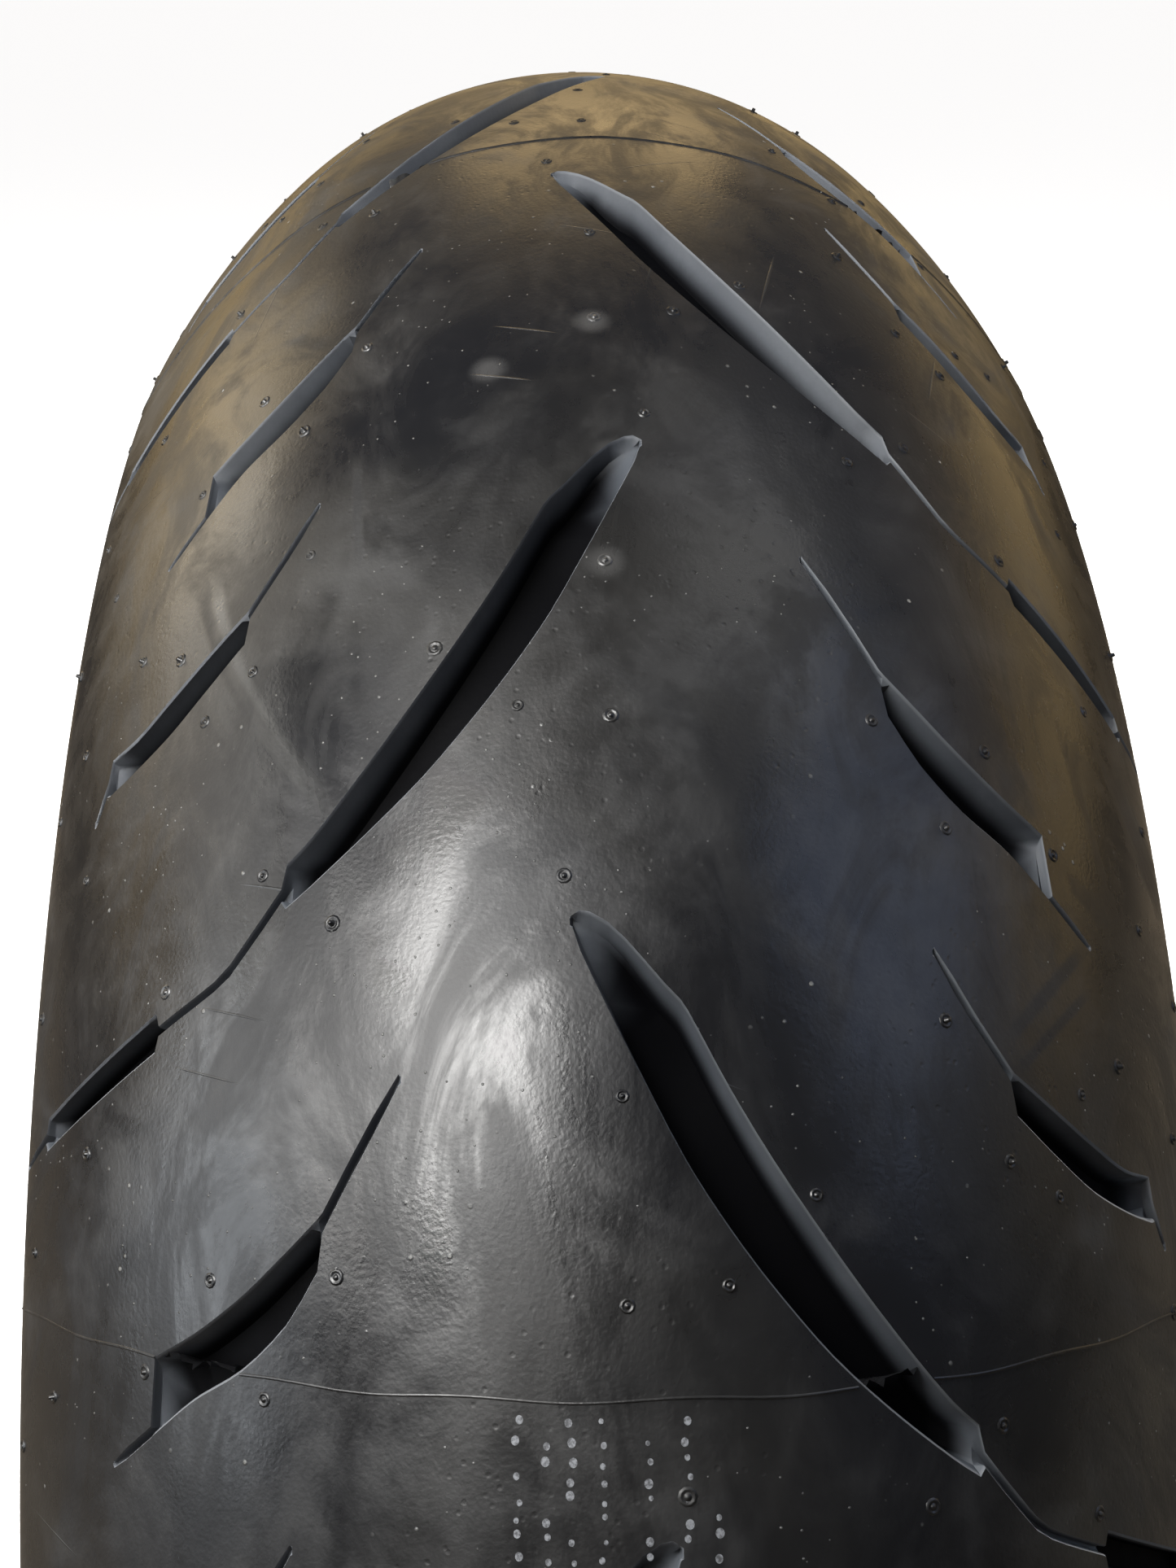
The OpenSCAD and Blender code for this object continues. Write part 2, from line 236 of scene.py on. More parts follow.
def thin_part(path, open_in=False, open_out=False, step=3.0):
    """Stations of a sipe. Its closed ends run out to the tread surface."""
    at = smooth_edge(path)
    s0, s1 = path[0][0], path[-1][0]
    rows = []
    for s in np.linspace(s0, s1, max(3, int((s1 - s0) / step) + 1)):
        k = degree_mm(s)
        slope = (at(min(s + 0.5, s1)) - at(max(s - 0.5, s0))) / (min(s + 0.5, s1) - max(s - 0.5, s0)) * k
        half = SIPE_W / 2 * math.sqrt(1 + slope * slope) / k
        near_end = (s == s0 and not open_in) or (s == s1 and not open_out)
        width, depth = (0.6, 0.3) if near_end else (1.0, 1.0)
        low, high = at(s) - half * width, at(s) + half * width
        rows.append((s, low, high, SIPE_D * depth, SIPE_WALL, SIPE_WALL))
    return rows


RIGHT_CHANNELS = [
    wide_part(LONG_LOW, LONG_HIGH, 6.0, (1.8, 3.0), 13.0, 5.0)
    + thin_part(LONG_TO_SLOT, True, True)
    + wide_part(SLOT_LOW, SLOT_HIGH, 4.6, (1.0, 1.0), 1.5, 3.5)
    + thin_part(SLOT_TO_EDGE, True, False),
    thin_part(TO_UPPER, False, True)
    + wide_part(UPPER_LOW, UPPER_HIGH, 5.4, (1.2, 2.4), 1.2, 6.0)
    + thin_part(FROM_UPPER, True, False),
    thin_part(TO_LOWER, False, True)
    + wide_part(LOWER_LOW, LOWER_HIGH, 5.0, (1.2, 1.6), 1.2, 7.0)
    + thin_part(FROM_LOWER, True, False),
]


def shifted(rows, turn, mirrored=False):
    """A channel turned round the tyre, or mirrored to the left side and turned."""
    out = [(-s if mirrored else s, a + turn, b + turn, d, wl, wh) for s, a, b, d, wl, wh in rows]
    return out[::-1] if mirrored else out


PITCH = 360.0 / PITCHES
HALF = PITCH / 2
# The channels of one pitch, all between the seam and the same seam one pitch on
CHANNELS = [shifted(RIGHT_CHANNELS[0], PITCH), *RIGHT_CHANNELS[1:]]
CHANNELS += [shifted(rows, HALF, True) for rows in RIGHT_CHANNELS]
SEAM = smooth_edge([
    (-TREAD_END_S, -4.5), (-100, -2), (-75, 1), (-50, 4), (-30, 7.5), (-10, 10.9), (0, 10.2),
    (9, 8.4), (30, 3.5), (50, 0), (75, -4), (100, -6.5), (TREAD_END_S, -9),
])


def channel_edges(rows, s):
    """Lower and upper edge of a channel at s, in degrees, or None outside it."""
    if not rows[0][0] <= s <= rows[-1][0]:
        return None
    xs = [r[0] for r in rows]
    return np.interp(s, xs, [r[1] for r in rows]), np.interp(s, xs, [r[2] for r in rows])


def groove_at(s, angle, margin=0.0):
    """Depth of the channel that holds a tread point, at any pitch, or None on the land."""
    for rows in CHANNELS:
        edges = channel_edges(rows, s)
        if edges is None:
            continue
        low, high = edges
        centre = (low + high) / 2
        turn = round((angle - centre) / PITCH) * PITCH
        pad = margin / degree_mm(s)
        if low - pad <= angle - turn <= high + pad:
            return float(np.interp(s, [r[0] for r in rows], [r[3] for r in rows]))
    return None


# ---- mesh helpers ----


def add_object(name, verts, faces, materials, replaces=()):
    """A smooth-shaded piece that rides the tyre and, if told to, replaces CAD nodes."""
    mesh = bpy.data.meshes.new(name)
    mesh.from_pydata([tuple(map(float, v)) for v in verts], [], [tuple(map(int, f)) for f in faces])
    mesh.update()
    for poly in mesh.polygons:
        poly.use_smooth = True
    obj = bpy.data.objects.new(name, mesh)
    bpy.context.scene.collection.objects.link(obj)
    for material in materials:
        mesh.materials.append(material)
    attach(obj, "root")
    if replaces:
        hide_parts(*replaces)
    return obj


def ring_faces(lower, upper, sides):
    """Faces between two rings of vertices, from the number of each ring's first vertex."""
    turns = [(k, (k + 1) % sides) for k in range(sides)]
    return [(lower + k, lower + m, upper + m, upper + k) for k, m in turns]


def strip_faces(start, count):
    """Faces of a strip that is three vertices wide and count rows long."""
    rows = range(start, start + 3 * (count - 1), 3)
    return [(q + j, q + j + 1, q + j + 4, q + j + 3) for q in rows for j in (0, 1)]


def ring_on_tread(s, angle, depth, rings, sides, stretch=1.0):
    """Vertices of rings that stand on the tread at one point. A ring is (radius, height) in millimetres."""
    centre, normal = on_tyre(s, angle, depth)
    basis = Vector(normal).to_track_quat("Z", "Y").to_matrix()
    verts = []
    for radius, height in rings:
        for k in range(sides):
            a = 2 * math.pi * k / sides
            local = Vector((radius * math.cos(a), radius * stretch * math.sin(a), height)) * MM
            verts.append(Vector(centre) + basis @ local)
    return verts


def lathe(name, points, segments, material, replaces=(), relief=None):
    """Spins (radius, across) points in millimetres round the axle. relief(row, angle) adds millimetres
    along the outline's own normal."""
    pts = np.array(points, float)
    ahead, back = np.roll(pts, -1, 0), np.roll(pts, 1, 0)
    ahead[-1], back[0] = pts[-1], pts[0]
    tangent = ahead - back
    tangent /= np.maximum(np.linalg.norm(tangent, axis=1, keepdims=True), 1e-9)
    out = np.stack([tangent[:, 1], -tangent[:, 0]], -1)
    verts, faces = [], []
    for row, point in enumerate(pts):
        for a in np.arange(segments) * 2 * math.pi / segments:
            r, y = point + (relief(row, a) if relief else 0.0) * out[row]
            verts.append((r * math.cos(a) * MM, y * MM, r * math.sin(a) * MM))
        if row:
            faces += ring_faces((row - 1) * segments, row * segments, segments)
    return add_object(name, verts, faces, [material], replaces)


def arc(centre, radius, a0, a1, count, side=1):
    """Points (radius, across) on a section arc, on the right for side 1 and on the left for side -1."""
    pts = [centre + radius * unit(a) for a in np.linspace(a0, a1, count)]
    return [(p[0], p[1] * side) for p in pts]


# ---- materials ----


class Nodes:
    """Short-hand for building one material's node tree."""

    def __init__(self, name):
        self.mat = bpy.data.materials.new(name)
        self.mat.use_nodes = True
        self.tree = self.mat.node_tree
        self.shader = self.tree.nodes["Principled BSDF"]
        self.coords = self.add("ShaderNodeTexCoord").outputs["Object"]
        self.place = None

    def around(self):
        """(across, length round the tyre) in metres, for marks drawn on the tread."""
        if self.place is None:
            split = self.add("ShaderNodeSeparateXYZ")
            self.link(self.coords, split.inputs[0])
            turn = self.math("ARCTAN2", split.outputs["Z"], split.outputs["X"])
            join = self.add("ShaderNodeCombineXYZ")
            self.link(split.outputs["Y"], join.inputs["X"])
            self.link(self.math("MULTIPLY", turn, TOP_R * MM), join.inputs["Y"])
            self.place = join.outputs[0]
        return self.place

    def distance_from(self, point):
        """Distance in metres from an (across, along) point of the tread."""
        node = self.add("ShaderNodeVectorMath", operation="DISTANCE")
        self.link(self.around(), node.inputs[0])
        node.inputs[1].default_value = (*point, 0.0)
        return node.outputs["Value"]

    def rings(self):
        """Coordinates that only change across the tyre, for streaks that run round it."""
        split = self.add("ShaderNodeSeparateXYZ")
        self.link(self.coords, split.inputs[0])
        join = self.add("ShaderNodeCombineXYZ")
        self.link(split.outputs["Y"], join.inputs["X"])
        return join.outputs[0]

    def scratches(self, turn, length, width, share):
        """Thin straight marks at one angle: 1 on a mark and 0 off it."""
        mapped = self.add("ShaderNodeMapping", vector_type="TEXTURE")
        mapped.inputs["Rotation"].default_value = (0.0, 0.0, turn)
        mapped.inputs["Scale"].default_value = (length, width, 1.0)
        self.link(self.around(), mapped.inputs["Vector"])
        cells = self.add("ShaderNodeTexVoronoi", voronoi_dimensions="2D")
        cells.inputs["Scale"].default_value = 1.0
        self.link(mapped.outputs["Vector"], cells.inputs["Vector"])
        pick = self.add("ShaderNodeSeparateColor")
        self.link(cells.outputs["Color"], pick.inputs[0])
        mark = self.ramp(cells.outputs["Distance"], 0.1, 0.03)
        return self.math("MULTIPLY", mark, self.math("LESS_THAN", pick.outputs["Red"], share))

    def scuff(self, centre, radius, width, middle, reach):
        """One curved scuff: a stretch of a circle in (across, along) metres, fading from its middle."""
        off = self.math("ABSOLUTE", self.math("SUBTRACT", self.distance_from(centre), radius), 0.0)
        line = self.ramp(off, width, width * 0.3)
        return self.math("MULTIPLY", line, self.ramp(self.distance_from(middle), reach, reach * 0.55))

    def halo(self, centre, radius):
        """A soft pale spot round a vent, at (across, along) metres."""
        return self.ramp(self.distance_from(centre), radius, radius * 0.2)

    def add(self, kind, **settings):
        node = self.tree.nodes.new(kind)
        for key, value in settings.items():
            setattr(node, key, value)
        return node

    def link(self, a, b):
        self.tree.links.new(a, b)

    def mapped(self, scale):
        node = self.add("ShaderNodeMapping")
        node.inputs["Scale"].default_value = scale
        self.link(self.coords, node.inputs["Vector"])
        return node.outputs["Vector"]

    def noise(self, scale, detail=4.0, rough=0.55, vector=None, distortion=0.0):
        node = self.add("ShaderNodeTexNoise")
        node.inputs["Scale"].default_value = scale
        node.inputs["Detail"].default_value = detail
        node.inputs["Roughness"].default_value = rough
        node.inputs["Distortion"].default_value = distortion
        self.link(vector or self.coords, node.inputs["Vector"])
        return node.outputs["Fac"]

    def cells(self, scale):
        node = self.add("ShaderNodeTexVoronoi", feature="F1")
        node.inputs["Scale"].default_value = scale
        self.link(self.coords, node.inputs["Vector"])
        return node.outputs["Distance"]

    def ramp(self, value, lo, hi, out_lo=0.0, out_hi=1.0):
        node = self.add("ShaderNodeMapRange")
        node.interpolation_type = "SMOOTHSTEP"
        for key, number in (("From Min", lo), ("From Max", hi), ("To Min", out_lo), ("To Max", out_hi)):
            node.inputs[key].default_value = number
        self.link(value, node.inputs["Value"])
        return node.outputs["Result"]

    def math(self, kind, a, b):
        node = self.add("ShaderNodeMath", operation=kind)
        for socket, value in zip(node.inputs, (a, b)):
            if isinstance(value, (int, float)):
                socket.default_value = value
            else:
                self.link(value, socket)
        return node.outputs[0]

    def most(self, values):
        """The largest of several values."""
        return reduce(lambda a, b: self.math("MAXIMUM", a, b), values)

    def mix(self, factor, a, b):
        node = self.add("ShaderNodeMix", data_type="RGBA")
        for socket, value in ((node.inputs[0], factor), (node.inputs[6], a), (node.inputs[7], b)):
            if isinstance(value, (int, float)):
                socket.default_value = value
            elif isinstance(value, tuple):
                socket.default_value = (*value, 1.0)
            else:
                self.link(value, socket)
        return node.outputs[2]

    def bump(self, height, distance, strength=1.0, before=None):
        node = self.add("ShaderNodeBump")
        node.inputs["Distance"].default_value = distance
        node.inputs["Strength"].default_value = strength
        self.link(height, node.inputs["Height"])
        if before is not None:
            self.link(before, node.inputs["Normal"])
        return node.outputs["Normal"]

    def finish(self, color, rough, normal=None, metallic=0.0):
        for name, value in (("Base Color", color), ("Roughness", rough)):
            socket = self.shader.inputs[name]
            if isinstance(value, (int, float)):
                socket.default_value = value
            elif isinstance(value, tuple):
                socket.default_value = (*value, 1.0)
            else:
                self.link(value, socket)
        self.shader.inputs["Metallic"].default_value = metallic
        if normal is not None:
            self.link(normal, self.shader.inputs["Normal"])
        return self.mat


def mark_at(s, angle):
    """Where a tread point lies in a material's (across, along) coordinates, in metres."""
    turned = (angle + PATTERN_TURN + 180.0) % 360.0 - 180.0
    return float(profile(s)[1]) * MM, math.radians(turned) * TOP_R * MM


def scuff_line(n, start, end, bend, width):
    """A scuff between two tread points, bent into an arc of the given radius in metres."""
    a, b = np.array(mark_at(*start)), np.array(mark_at(*end))
    middle = (a + b) / 2
    across = np.array([-(b - a)[1], (b - a)[0]]) / np.linalg.norm(b - a)
    half = np.linalg.norm(b - a) / 2
    centre = middle + across * math.copysign(math.sqrt(bend * bend - half * half), bend)
    return n.scuff(tuple(centre), abs(bend), width, tuple(middle), half * 1.15)


# Marks on the tread: pale spots round vents, and scuffs as (start, end, bend radius, width) in metres.
# One scuff is a painted highlight line with a painted shade line along its other edge; the other dark
# scuffs are dark scuff marks.
PALE_SPOTS = [(-18.5, 25.9), (-0.5, 27.8), (0.0, 17.9), (2.0, 21.9)]
PALE_SPOT_R = 0.0042
# A painted highlight along one edge of a scuff.
SCUFF_HIGHLIGHT = ((-72, 21.0), (-44, 11.2), 0.12, 0.0022)
# The first of these is the painted shade along the other edge of the highlighted scuff; the rest are dark
# scuff marks.
SCUFFS_AND_SHADE = [
    ((-75, 21.2), (-47, 11.8), 0.12, 0.0018),
    ((-42, 23.5), (-40.5, 18.9), 2.0, 0.0012),
    ((62, 4.7), (83.5, 7.9), 1.5, 0.0016),
    ((64, 3.9), (84, 6.6), 1.5, 0.0012),
]


def tread_rubber():
    """New tread rubber: semi-gloss, with release-agent stains, wiped streaks, hair scratches and dust."""
    n = Nodes("tread_rubber")
    clouds = n.noise(11.0, 6.0, 0.62, distortion=0.8)
    stains = n.noise(42.0, 6.0, 0.65, distortion=0.4)
    wiped = n.noise(1.0, 6.0, 0.7, n.mapped((30.0, 46.0, 16.0)), distortion=1.1)
    streaks = n.math("MULTIPLY", n.noise(130.0, 4.0, 0.6, n.rings()), n.ramp(n.noise(6.0, 2.0), 0.4, 0.65))
    grain = n.noise(1300.0, 2.0, 0.5)
    pits = n.ramp(n.cells(420.0), 0.22, 0.05)
    speck_cells = n.cells(260.0)
    speck_place = n.ramp(n.noise(55.0, 3.0, 0.6), 0.56, 0.66)
    specks = n.math("MULTIPLY", n.ramp(speck_cells, 0.12, 0.05), speck_place)
    fine_place = n.ramp(n.noise(23.0, 3.0, 0.6), 0.5, 0.62)
    fine_specks = n.math("MULTIPLY", n.ramp(n.cells(430.0), 0.1, 0.04), fine_place)
    specks = n.math("MAXIMUM", specks, fine_specks)
    halo = n.most([n.halo(mark_at(*spot), PALE_SPOT_R) for spot in PALE_SPOTS])
    hairs = [(0.5, 0.11, 0.0022, 0.02), (-0.35, 0.07, 0.002, 0.02), (1.35, 0.13, 0.0028, 0.012)]
    fine = n.most([n.scratches(*hair) for hair in hairs])
    scuff_highlight = scuff_line(n, *SCUFF_HIGHLIGHT)
    scuff_marks_and_shade = n.most([scuff_line(n, *scuff) for scuff in SCUFFS_AND_SHADE])

    base = n.mix(n.ramp(clouds, 0.35, 0.7), (0.0085, 0.0085, 0.0095), (0.017, 0.0158, 0.0142))
    base = n.mix(n.math("MULTIPLY", n.ramp(stains, 0.52, 0.72), 0.55), base, (0.03, 0.029, 0.028))
    base = n.mix(n.math("MULTIPLY", halo, 0.5), base, (0.1, 0.095, 0.09))
    base = n.mix(n.math("MULTIPLY", specks, 0.8), base, (0.22, 0.215, 0.2))
    base = n.mix(n.math("MULTIPLY", fine, 0.3), base, (0.06, 0.059, 0.055))
    # Painted highlight along a scuff.
    base = n.mix(n.math("MULTIPLY", scuff_highlight, 0.55), base, (0.06, 0.058, 0.054))
    # Painted shade along that scuff, and dark scuff marks.
    base = n.mix(n.math("MULTIPLY", scuff_marks_and_shade, 0.7), base, (0.006, 0.006, 0.0065))

    rough = n.math("ADD", n.ramp(clouds, 0.3, 0.7, 0.29, 0.37), n.ramp(stains, 0.35, 0.75, -0.04, 0.09))
    rough = n.math("ADD", rough, n.ramp(wiped, 0.4, 0.64, -0.06, 0.12))
    film = n.math("MULTIPLY", n.ramp(stains, 0.4, 0.62, 0.82, 1.15), n.ramp(wiped, 0.42, 0.6, 1.14, 0.8))
    n.link(n.math("MULTIPLY", film, 0.5), n.shader.inputs["Specular IOR Level"])
    rough = n.math("ADD", rough, n.math("MULTIPLY", streaks, 0.12))
    rough = n.math("ADD", rough, n.math("MULTIPLY", n.math("ADD", specks, scuff_marks_and_shade), 0.2))
    rough = n.math("SUBTRACT", rough, n.math("MULTIPLY", scuff_highlight, 0.1))

    normal = n.bump(stains, 0.0005, 0.1)
    normal = n.bump(grain, 0.00008, 0.45, normal)
    normal = n.bump(n.math("MULTIPLY", pits, n.ramp(clouds, 0.45, 0.6)), -0.00006, 0.6, normal)
    normal = n.bump(fine, 0.00012, 0.5, normal)
    normal = n.bump(specks, 0.0002, 0.5, normal)
    return n.finish(base, rough, normal)


def groove_rubber():
    """The groove walls keep the mould's dull, pale finish. A painted shade darkens it down to the floor,
    where it stands for the light that the walls shut out and is almost black. A painted highlight lightens
    each lip."""
    n = Nodes("groove_rubber")
    painted_shade = n.add("ShaderNodeAttribute", attribute_name="painted_shade").outputs["Fac"]
    dust = n.noise(60.0, 5.0, 0.65)
    grain = n.noise(900.0, 2.0, 0.5)
    base = n.mix(n.ramp(dust, 0.4, 0.7), (0.066, 0.071, 0.08), (0.09, 0.096, 0.106))
    # Painted shade: darker with depth, almost black on the floor.
    base = n.mix(n.ramp(painted_shade, 0.3, 0.95), base, (0.002, 0.002, 0.0025))
    # Painted highlight: a pale line along each lip of the groove.
    base = n.mix(n.math("MULTIPLY", n.ramp(painted_shade, 0.09, 0.02), 0.6), base, (0.16, 0.165, 0.175))
    # Painted shade of the sheen: it is turned down with depth.
    n.link(n.ramp(painted_shade, 0.1, 0.9, 0.3, 0.03), n.shader.inputs["Specular IOR Level"])
    return n.finish(base, n.ramp(dust, 0.3, 0.7, 0.5, 0.66), n.bump(grain, 0.0001, 0.4))


def side_rubber():
    """Sidewall rubber: smoother and more even than the tread, with a fine moulded grain."""
    n = Nodes("side_rubber")
    clouds = n.noise(12.0, 4.0, 0.6)
    grain = n.noise(1400.0, 2.0, 0.5)
    dust = n.noise(90.0, 5.0, 0.7)
    base = n.mix(n.ramp(dust, 0.5, 0.75), (0.012, 0.012, 0.013), (0.026, 0.025, 0.024))
    rough = n.ramp(clouds, 0.3, 0.7, 0.42, 0.56)
    normal = n.bump(grain, 0.0001, 0.5, n.bump(dust, 0.0004, 0.2))
    return n.finish(base, rough, normal)


def liner_rubber():
    """Butyl inner liner, with the fine crossing vent lines that the curing bladder leaves; only one set of
    them is drawn, as wavy bands.
    """
    n = Nodes("liner_rubber")
    dust = n.noise(30.0, 5.0, 0.65)
    lines = n.add("ShaderNodeTexWave", wave_type="BANDS", bands_direction="Y")
    lines.inputs["Scale"].default_value = 60.0
    lines.inputs["Distortion"].default_value = 0.6
    lines.inputs["Detail"].default_value = 1.0
    n.link(n.coords, lines.inputs["Vector"])
    base = n.mix(n.ramp(dust, 0.4, 0.7), (0.022, 0.022, 0.024), (0.05, 0.048, 0.045))
    normal = n.bump(lines.outputs["Fac"], 0.0004, 0.5, n.bump(dust, 0.0008, 0.3))
    return n.finish(base, n.ramp(dust, 0.3, 0.7, 0.55, 0.75), normal)


def inner_compound():
    """Plain rubber between the cords."""
    n = Nodes("inner_compound")
    grain = n.noise(300.0, 4.0, 0.6)
    base = n.mix(n.ramp(grain, 0.4, 0.65), (0.03, 0.029, 0.028), (0.05, 0.047, 0.045))
    return n.finish(base, 0.7, n.bump(grain, 0.0003, 0.4))


def cord_fabric(name, light, dark, scale):
    """Rubber-dipped cords lying side by side across the tyre."""
    n = Nodes(name)
    cords = n.add("ShaderNodeTexWave", wave_type="BANDS", bands_direction="DIAGONAL")
    cords.inputs["Scale"].default_value = scale
    n.link(n.coords, cords.inputs["Vector"])
    fuzz = n.noise(700.0, 3.0, 0.6)
    base = n.mix(n.math("MULTIPLY", cords.outputs["Fac"], n.ramp(fuzz, 0.2, 0.8, 0.7, 1.0)), dark, light)
    return n.finish(base, 0.8, n.bump(cords.outputs["Fac"], 0.0004, 0.6))


def coated_steel():
    """Drawn steel wire with a thin brass coat."""
    n = Nodes("brass_coated_steel")
    drawn = n.noise(500.0, 3.0, 0.6, n.mapped((1.0, 12.0, 1.0)))
    base = n.mix(n.ramp(drawn, 0.35, 0.7), (0.5, 0.36, 0.16), (0.72, 0.6, 0.36))
    return n.finish(base, n.ramp(drawn, 0.3, 0.7, 0.25, 0.42), n.bump(drawn, 0.0001, 0.3), 1.0)


def marking_ink():
    """Pale printed ink, worn through in places."""
    n = Nodes("marking_ink")
    wear = n.noise(1500.0, 3.0, 0.6)
    base = n.mix(n.ramp(wear, 0.35, 0.65), (0.09, 0.09, 0.095), (0.34, 0.345, 0.36))
    return n.finish(base, 0.6)


TREAD = tread_rubber()
GROOVE = groove_rubber()
SIDE = side_rubber()
INK = marking_ink()

# ---- tread ----


def channel_points(rows):
    """The eight lines of vertices along a channel, from its lower edge down, across and up again, as
    (s, angle, depth, painted shade, which grows with how shut in by the walls a line is). A row in the
    tread surface closes both ends."""
    lines = []
    for s, low, high, depth, wall_low, wall_high in rows:
        k = degree_mm(s)
        width = (high - low) * k
        lip = min(LIP, 0.14 * width)
        lip_d = min(0.3, 0.3 * depth)
        foot_low = max(min(wall_low, 0.34 * width), 1.5 * lip)
        foot_high = max(min(wall_high, 0.42 * width), 1.5 * lip)
        across = [0.0, lip, 0.72 * foot_low, foot_low * 1.12]
        across += [width - foot_high * 1.12, width - 0.72 * foot_high, width - lip, width]
        down = [0.0, lip_d, 0.84 * depth, depth]
        # How much painted shade each line gets: none on the tread, most on the floor.
        dark = min(1.0, depth / DARK_DEPTH)
        painted_shade = [0.0, 0.05, 0.8 * dark, dark]
        section = zip(across, down + down[::-1], painted_shade + painted_shade[::-1])
        lines.append([(s, low + a / k, d, e) for a, d, e in section])
    for end, past in ((0, -0.4), (-1, 0.4)):
        row = [(s + past, a) for s, a, *_ in lines[end]]
        middle = (row[0][1] + row[-1][1]) / 2
        row = [(s, middle + 0.7 * (a - middle), 0.0, 0.0) for s, a in row]
        lines.insert(0 if end == 0 else len(lines), row)
    return lines


FLAT_DEGREE = TOP_R * math.pi / 180


def pitch_mesh():
    """One pitch of tread as (s, angle, depth, painted shade) vertices and triangles."""
    points, edges = [], []

    def add(s, angle, depth=0.0, painted_shade=0.0):
        points.append((s, angle, depth, painted_shade))
        return len(points) - 1

    near_edge = [119.0, 120.4, 121.8, TREAD_END_S]
    columns = sorted([*np.arange(-117, 117.1, 3.0), *near_edge, *(-s for s in near_edge)])
    for turn in (0.0, PITCH):
        row = [add(s, SEAM(s) + turn) for s in columns]
        edges += list(zip(row, row[1:]))
    for end in (columns[0], columns[-1]):
        row = [add(end, SEAM(end) + t) for t in np.linspace(0, PITCH, 41)[1:-1]]
        edges += list(zip(row, row[1:]))
    for rows in CHANNELS:
        grid = [[add(*p) for p in line] for line in channel_points(rows)]
        for a, b in zip(grid, grid[1:]):
            edges += list(zip(a, b))
        for line in (grid[0], grid[-1]):
            edges += list(zip(line, line[1:]))
    count = 42
    for i, s in enumerate(columns[1:-1]):
        for j in range(1, count):
            angle = SEAM(s) + PITCH * (j + (0.5 if i % 2 else 0.0)) / count
            if SEAM(s) + 0.25 < angle < SEAM(s) + PITCH - 0.25 and groove_at(s, angle, 1.1) is None:
                add(s, angle)
    flat = [Vector((s, angle * FLAT_DEGREE)) for s, angle, *_ in points]
    out_verts, _, out_faces, origins, _, _ = delaunay_2d_cdt(flat, edges, [], 0, 1e-5)
    verts = []
    for v, ids in zip(out_verts, origins):
        depth, painted_shade = max((points[i][2:] for i in ids), default=(0.0, 0.0))
        verts.append((v.x, v.y / FLAT_DEGREE, depth, painted_shade))
    verts = np.array(verts)
    faces = []
    for f in out_faces:
        s, angle = verts[list(f), :2].mean(0)
        if SEAM(s) - 0.02 <= angle <= SEAM(s) + PITCH + 0.02:
            faces.append(f)
    return verts, np.array(faces)


def build_tread():
    verts, faces = pitch_mesh()
    all_v, all_n, all_f, land = [], [], [], []
    for i in range(PITCHES):
        p, nrm = on_tyre(verts[:, 0], verts[:, 1] + i * PITCH, verts[:, 2])
        all_v.append(p)
        all_n.append(nrm)
        all_f.append(faces + i * len(verts))
        land.append(verts[:, 2] < 1e-6)
    v, nrm, f, land = np.vstack(all_v), np.vstack(all_n), np.vstack(all_f), np.concatenate(land)
    cross = np.cross(v[f[:, 1]] - v[f[:, 0]], v[f[:, 2]] - v[f[:, 0]])
    facing = (cross * nrm[f[:, 0]]).sum(1) < 0
    f[facing] = f[facing][:, ::-1]
    obj = add_object("tread", v, f, [TREAD, GROOVE], ["tread_cap"])
    mesh = obj.data
    # The painted shade of the groove walls and floors, read by the groove material.
    painted_shade = mesh.attributes.new("painted_shade", "FLOAT", "POINT")
    painted_shade.data.foreach_set("value", np.tile(verts[:, 3], PITCHES).astype(np.float32))
    in_groove = (~land)[f].any(1).astype(np.int32)
    mesh.polygons.foreach_set("material_index", in_groove)
    mesh.set_sharp_from_angle(angle=math.radians(38))
    # The land takes the exact normals of the rounded tyre, so that its highlights stay smooth
    corner = np.zeros(len(mesh.loops) * 3, np.float32)
    mesh.corner_normals.foreach_get("vector", corner)
    corner = corner.reshape(-1, 3)
    index = np.zeros(len(mesh.loops), np.int32)
    mesh.loops.foreach_get("vertex_index", index)
    on_land = land[f].all(1).repeat(3)
    corner[on_land] = nrm[index][on_land]
    mesh.normals_split_custom_set([tuple(map(float, c)) for c in corner])
    return obj


build_tread()


def build_underside():
    """The tread cap's inner face, from one end of the tread to the other."""
    radius, across, slope = profile(np.linspace(TREAD_END_S, -TREAD_END_S, 61))
    outer = np.stack([radius, across], -1)
    inner = outer - CAP_T * unit(slope).T
    lathe("tread_underside", [outer[0], *inner, outer[-1]], 180, TREAD)


build_underside()


def build_nubs():
    """Vent nubs: a small raised ring with a snipped pip in it."""
    collar = [(1.25, 0.0), (1.0, 0.24), (0.82, 0.22), (0.62, 0.06), (0.4, 0.1)]
    pip_r = 0.33
    sunk = 0.04
    sides = 10
    verts, faces = [], []
    for pitch in range(PITCHES):
        for mirrored in (False, True):
            turn = HALF if mirrored else 0.0
            for s, angle in NUBS:
                size = RNG.uniform(0.8, 1.15)
                tall = RNG.choice((0.25, 0.35, 0.5, 0.9)) if abs(s) > 30 else RNG.choice((0.2, 0.3, 0.4))
                rings = [(radius * size, height - sunk) for radius, height in [*collar, (pip_r, tall)]]
                place = angle + turn + pitch * PITCH + RNG.uniform(-0.1, 0.1)
                start = len(verts)
                verts += ring_on_tread(-s if mirrored else s, place, 0.0, rings, sides)
                for lower in range(start, len(verts) - sides, sides):
                    faces += ring_faces(lower, lower + sides, sides)
                faces.append(list(range(len(verts) - sides, len(verts))))
    return add_object("vent_nubs", verts, faces, [TREAD])


build_nubs()


